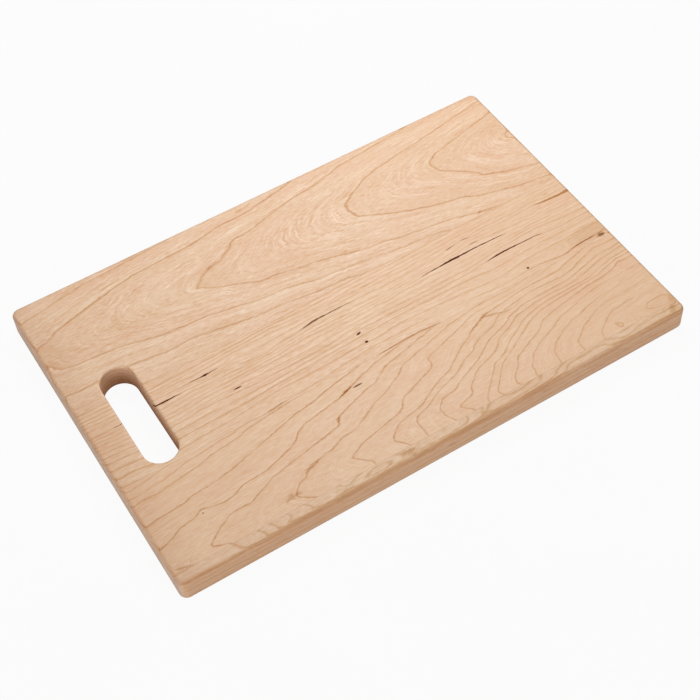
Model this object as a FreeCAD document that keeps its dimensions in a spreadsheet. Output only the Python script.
import FreeCAD, Part
import math
import os
import Sketcher
from FreeCAD import Vector
from Sketcher import Constraint

# Cutting board, edge-glued from four staves of close-grained hardwood, with
# a hand slot through one end.  Millimetres, +Z up.
# Origin: centre of the underside.  +X runs along the grain, away from the
# hand slot.  +Y runs across the staves, from the narrow edge strip at the
# front to the widest stave at the back.

doc = FreeCAD.newDocument("CuttingBoard")

# ---------------------------------------------------------------- sizes
SIZES = [
    # alias, value, what it is
    ("board_length", "444.5", "overall, along the grain"),
    ("board_width", "292.1", "overall, across the staves"),
    ("board_thick", "22.225", "overall, dressed thickness"),
    ("plan_radius", "6.35", "vertical corners, seen from above"),
    ("edge_round", "3.175", "roundover of every outer arris, top and bottom"),
    ("glue_thick", "0.15", "cured adhesive film"),
    ("joint_back", "22.6", "+Y position of the back joint"),
    ("joint_centre", "52.5", "-Y distance of the centre joint"),
    ("joint_front", "135.8", "-Y distance of the front joint"),
    ("slot_from_middle", "180.4", "slot centre, -X distance from the middle"),
    ("slot_off_axis", "0.4", "slot centre, +Y distance from the middle"),
    ("slot_wide", "28.0", "slot width, wall to wall"),
    ("slot_long", "98.5", "slot length over its round ends"),
    ("slot_round", "1.6", "easing of the slot's arrises"),
    # worked out from the ones above
    ("half_glue", "=glue_thick / 2", "half a film"),
    ("slot_radius", "=slot_wide / 2", "round ends of the slot"),
    ("slot_half_run", "=(slot_long - slot_wide) / 2", "middle to end centres"),
    ("slot_end_y", "=slot_off_axis + slot_half_run", "+Y end centre"),
    ("slot_start_y", "=slot_half_run - slot_off_axis", "-Y end centre, as a distance"),
    ("back_wide", "=board_width / 2 - joint_back - half_glue", "back stave"),
    ("centre_wide", "=joint_back + joint_centre - glue_thick", "centre stave"),
    ("front_wide", "=joint_front - joint_centre - glue_thick", "front stave"),
    ("strip_wide", "=board_width / 2 - joint_front - half_glue", "edge strip"),
    ("back_mid", "=joint_back + half_glue + back_wide / 2", "+Y of its middle"),
    ("centre_mid", "=(joint_centre - joint_back) / 2", "-Y of its middle"),
    ("front_mid", "=(joint_front + joint_centre) / 2", "-Y of its middle"),
    ("strip_mid", "=joint_front + half_glue + strip_wide / 2", "-Y of its middle"),
]
sheet = doc.addObject("Spreadsheet::Sheet", "Sizes")
for row, (alias, value, note) in enumerate(SIZES, start=1):
    sheet.set("A%d" % row, alias)
    sheet.set("B%d" % row, value)
    sheet.set("C%d" % row, note)
    sheet.setAlias("B%d" % row, alias)
doc.recompute()

TOLERANCE = 1e-4   # for telling where an edge lies
SLOT_MARGIN = 1.0  # reach of the slot's edge selection beyond its walls


def size(alias):
    return float(getattr(sheet, alias))


def signed(alias, sign):
    """The expression for a distance towards +Y (sign 1) or -Y (sign -1)."""
    return ("" if sign > 0 else "-1 * ") + "Sizes." + alias


# --------------------------------------------------- bodies and sketches
def new_body(name, place, sign):
    """A body for one piece, moved along Y to where its middle sits."""
    body = doc.addObject("PartDesign::Body", name)
    body.Label = name
    # the slot divides the back glue line into two solids
    body.AllowCompound = True
    body.setExpression("Placement.Base.y", signed(place, sign))
    return body


def new_sketch(body, name):
    """A sketch on the body's XY plane, the board's underside."""
    underside = next(f for f in body.Origin.OriginFeatures if f.Role == "XY_Plane")
    sketch = body.newObject("Sketcher::SketchObject", name)
    sketch.AttachmentSupport = [(underside, "")]
    sketch.MapMode = "FlatFace"
    return sketch


def dimension(sketch, constraint, name, expression):
    """Adds a named dimension driven by an expression."""
    index = sketch.addConstraint(constraint)
    sketch.renameConstraint(index, name)
    sketch.setExpression("Constraints." + name, expression)


def draw_rectangle(sketch, x_alias, y_alias):
    """A rectangle centred on the sketch's origin, sized by two aliases."""
    side_x, side_y = size(x_alias), size(y_alias)
    x, y = side_x / 2, side_y / 2
    corners = [Vector(-x, -y, 0), Vector(x, -y, 0), Vector(x, y, 0), Vector(-x, y, 0)]
    for i in range(4):
        sketch.addGeometry(Part.LineSegment(corners[i], corners[(i + 1) % 4]), False)
    for i in range(4):
        sketch.addConstraint(Constraint("Coincident", i, 2, (i + 1) % 4, 1))
    for i in (0, 2):
        sketch.addConstraint(Constraint("Horizontal", i))
    for i in (1, 3):
        sketch.addConstraint(Constraint("Vertical", i))
    sketch.addConstraint(Constraint("Symmetric", 0, 1, 2, 1, -1, 1))
    dimension(sketch, Constraint("DistanceX", 0, 1, 0, 2, side_x),
              "side_x", "Sizes." + x_alias)
    dimension(sketch, Constraint("DistanceY", 1, 1, 1, 2, side_y),
              "side_y", "Sizes." + y_alias)


def draw_slot(sketch, place, sign):
    """The hand slot's outline: two half circles joined by straight sides
    that run along Y.  place and sign say where the body's own zero sits."""
    body_y = sign * size(place)
    body_y_text = signed(place, sign)
    x = -size("slot_from_middle")
    radius = size("slot_radius")
    high = size("slot_end_y") - body_y
    low = -size("slot_start_y") - body_y

    def half_circle(y, start, end):
        circle = Part.Circle(Vector(x, y, 0), Vector(0, 0, 1), radius)
        sketch.addGeometry(Part.ArcOfCircle(circle, start, end), False)

    def side(side_x, y_from, y_to):
        line = Part.LineSegment(Vector(side_x, y_from, 0), Vector(side_x, y_to, 0))
        sketch.addGeometry(line, False)

    # geometry 0: +Y end, 1: -Y end, 2: -X side, 3: +X side
    half_circle(high, 0, math.pi)
    half_circle(low, math.pi, 2 * math.pi)
    side(x - radius, high, low)
    side(x + radius, low, high)
    # joined end to start, round the outline
    for first, second in ((0, 2), (2, 1), (1, 3), (3, 0)):
        sketch.addConstraint(Constraint("Tangent", first, 2, second, 1))
    sketch.addConstraint(Constraint("Equal", 0, 1))
    sketch.addConstraint(Constraint("Vertical", 3))
    dimension(sketch, Constraint("Radius", 0, radius),
              "end_radius", "Sizes.slot_radius")
    dimension(sketch, Constraint("DistanceX", 0, 3, -1, 1, -x),
              "from_middle", "Sizes.slot_from_middle")
    dimension(sketch, Constraint("DistanceY", 1, 3, 0, 3, high - low),
              "run", "2 * Sizes.slot_half_run")
    # the +Y end's centre from the body's own zero, kept a positive distance
    if high >= 0:
        dimension(sketch, Constraint("DistanceY", -1, 1, 0, 3, high),
                  "end_at", "Sizes.slot_end_y - (%s)" % body_y_text)
    else:
        dimension(sketch, Constraint("DistanceY", 0, 3, -1, 1, -high),
                  "end_at", "(%s) - Sizes.slot_end_y" % body_y_text)


# ------------------------------------------------------------- features
def pad_blank(body, sketch_name, pad_name, wide):
    """A square-edged blank, as long and as thick as the board."""
    sketch = new_sketch(body, sketch_name)
    draw_rectangle(sketch, "board_length", wide)
    doc.recompute()
    pad = body.newObject("PartDesign::Pad", pad_name)
    pad.Profile = sketch
    pad.setExpression("Length", "Sizes.board_thick")
    sketch.Visibility = False
    doc.recompute()


def cut_slot(body, place, sign):
    """Cuts the hand slot up through the whole thickness."""
    name = body.Label + "_slot"
    sketch = new_sketch(body, name + "_outline")
    draw_slot(sketch, place, sign)
    doc.recompute()
    volume_before = body.Shape.Volume
    pocket = body.newObject("PartDesign::Pocket", name)
    pocket.Profile = sketch
    pocket.Type = "ThroughAll"
    pocket.Reversed = True
    sketch.Visibility = False
    doc.recompute()
    if not body.Shape.Volume < volume_before - 1.0:
        raise RuntimeError(name + " cuts nothing")


def round_edges(body, suffix, radius, wanted):
    """Rounds the edges of the body's last feature for which wanted() is true,
    given the edge's middle point and its bounding box."""
    name = body.Label + suffix
    base = body.Tip
    picked = []
    for i, edge in enumerate(base.Shape.Edges, start=1):
        middle = edge.valueAt((edge.FirstParameter + edge.LastParameter) / 2)
        if wanted(middle, edge.BoundBox):
            picked.append("Edge%d" % i)
    if not picked:
        raise RuntimeError(name + " picks no edge")
    fillet = body.newObject("PartDesign::Fillet", name)
    fillet.Base = (base, picked)
    fillet.setExpression("Radius", "Sizes." + radius)
    doc.recompute()
    if not fillet.Shape.Volume < base.Shape.Volume:
        raise RuntimeError(name + " removes nothing")


# ------------------------------------------------------- edge selection
def is_level(box):
    """True for an edge that lies in the top or the bottom face."""
    return box.ZLength < TOLERANCE and (
        abs(box.ZMin) < TOLERANCE
        or abs(box.ZMin - size("board_thick")) < TOLERANCE
    )


def near_slot(middle):
    reach = size("slot_radius") + SLOT_MARGIN
    return abs(middle.x + size("slot_from_middle")) < reach


# --------------------------------------------------------------- pieces
def make_stave(name, wide, place, sign, free_side, slotted):
    """One stave.  free_side is +1 or -1 where its long edge is an outer edge
    of the board, and 0 where both long edges are glued."""
    half_wide = size(wide) / 2

    def on_free_side(middle):
        return free_side and abs(middle.y - free_side * half_wide) < TOLERANCE

    def is_corner(middle, box):
        return box.ZLength > size("board_thick") / 2 and on_free_side(middle)

    def is_outer(middle, box):
        glued = box.YLength < TOLERANCE and not on_free_side(middle)
        return is_level(box) and not glued and not (slotted and near_slot(middle))

    def is_slot_edge(middle, box):
        long_edge = (box.YLength < TOLERANCE
                     and abs(abs(middle.y) - half_wide) < TOLERANCE)
        return is_level(box) and near_slot(middle) and not long_edge

    body = new_body(name, place, sign)
    pad_blank(body, name + "_outline", name + "_blank", wide)
    if free_side:
        round_edges(body, "_corners", "plan_radius", is_corner)
    if slotted:
        cut_slot(body, place, sign)
    round_edges(body, "_roundover", "edge_round", is_outer)
    if slotted:
        round_edges(body, "_slot_easing", "slot_round", is_slot_edge)
    return body


def make_film(name, joint, sign, slotted):
    """A glue film as deep and as long as the board, its ends rounded like
    the staves' own ends."""

    def is_end(middle, box):
        at_end = abs(abs(middle.x) - size("board_length") / 2) < TOLERANCE
        return is_level(box) and at_end

    def is_slot_edge(middle, box):
        return is_level(box) and box.XLength < TOLERANCE and near_slot(middle)

    body = new_body(name, joint, sign)
    pad_blank(body, name + "_face", name + "_sheet", "glue_thick")
    round_edges(body, "_ends", "edge_round", is_end)
    if slotted:
        cut_slot(body, joint, sign)
        round_edges(body, "_slot_easing", "slot_round", is_slot_edge)
    return body


STAVES = [
    # name, width, place of its middle, sign of that place, free side, slotted
    ("back_stave", "back_wide", "back_mid", 1, 1, True),
    ("centre_stave", "centre_wide", "centre_mid", -1, 0, True),
    ("front_stave", "front_wide", "front_mid", -1, 0, False),
    ("edge_strip", "strip_wide", "strip_mid", -1, -1, False),
]
FILMS = [
    # name, place of the joint, sign of that place, slotted
    ("back_glue_line", "joint_back", 1, True),
    ("centre_glue_line", "joint_centre", -1, False),
    ("front_glue_line", "joint_front", -1, False),
]
pieces = [make_stave(*row) for row in STAVES] + [make_film(*row) for row in FILMS]
doc.recompute()

# --------------------------------------------------------------- export
for obj in doc.Objects:
    if "Invalid" in obj.State or "Error" in obj.State:
        raise RuntimeError("%s failed: %s" % (obj.Name, obj.State))
for body in pieces:
    if body.Shape.isNull() or not body.Shape.isValid():
        raise RuntimeError("bad shape: " + body.Label)
    for feature in body.Group:
        is_sketch = feature.isDerivedFrom("Sketcher::SketchObject")
        if is_sketch and not feature.FullyConstrained:
            raise RuntimeError("loose sketch: " + feature.Name)

os.makedirs("parts", exist_ok=True)
for body in pieces:
    body.Shape.exportStep(os.path.join("parts", body.Label + ".step"))
